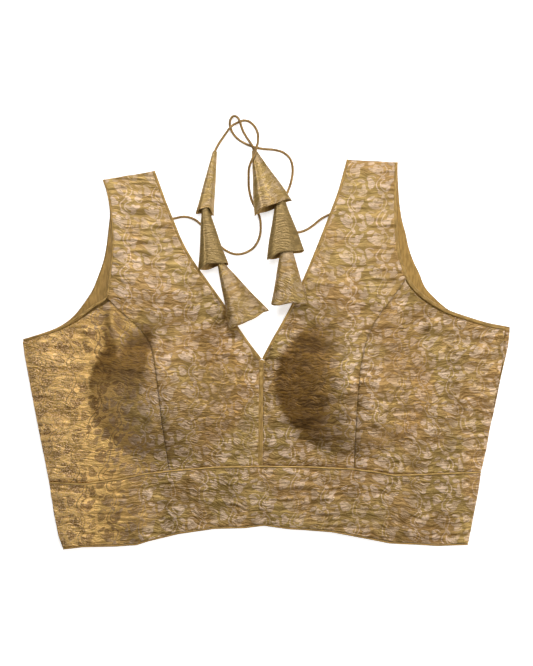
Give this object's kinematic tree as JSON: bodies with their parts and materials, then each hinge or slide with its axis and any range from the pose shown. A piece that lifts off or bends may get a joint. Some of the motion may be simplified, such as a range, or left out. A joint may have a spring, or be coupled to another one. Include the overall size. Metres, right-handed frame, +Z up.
{
  "type": "choli blouse",
  "caption": "Sleeveless gold brocade choli blouse laid flat, with deep V neck, moulded cups, piped hem band, and two knotted tie cords ending in three-tier cloth tassels.",
  "frame": {"origin": "centre of the blouse's own bounding box, without cords and tassels, at its underside on the surface that it lies on", "axes": "+X across the blouse to the viewer's right as seen from above its front, +Y from the hem to the shoulders, +Z up from the surface"},
  "size_m": [0.4814, 0.4291, 0.0465],
  "materials": {
    "brocade": "metallic brocade with a woven vine pattern",
    "plain_lining": "smooth mustard lining",
    "binding": "plain satin binding, piping and covered cord",
    "waist_piping": "light gold piping"
  },
  "bodies": {
    "root": {"front_centre_left": "brocade", "front_side_left": "brocade", "front_centre_right": "brocade", "front_side_right": "brocade", "front_band": "brocade", "back_panel": "brocade", "back_band": "brocade", "side_lap": "brocade", "left_tassel_cone_1": "brocade", "left_tassel_cone_2": "brocade", "left_tassel_cone_3": "brocade", "right_tassel_cone_1": "brocade", "right_tassel_cone_2": "brocade", "right_tassel_cone_3": "brocade", "back_lining": "plain_lining", "centre_front_strip": "plain_lining", "neck_binding_left": "binding", "neck_binding_right": "binding", "armhole_binding_left": "binding", "armhole_binding_right": "binding", "hem_piping": "binding", "cord_left": "binding", "cord_right": "binding", "waist_piping": "waist_piping"}
  },
  "joints": []
}
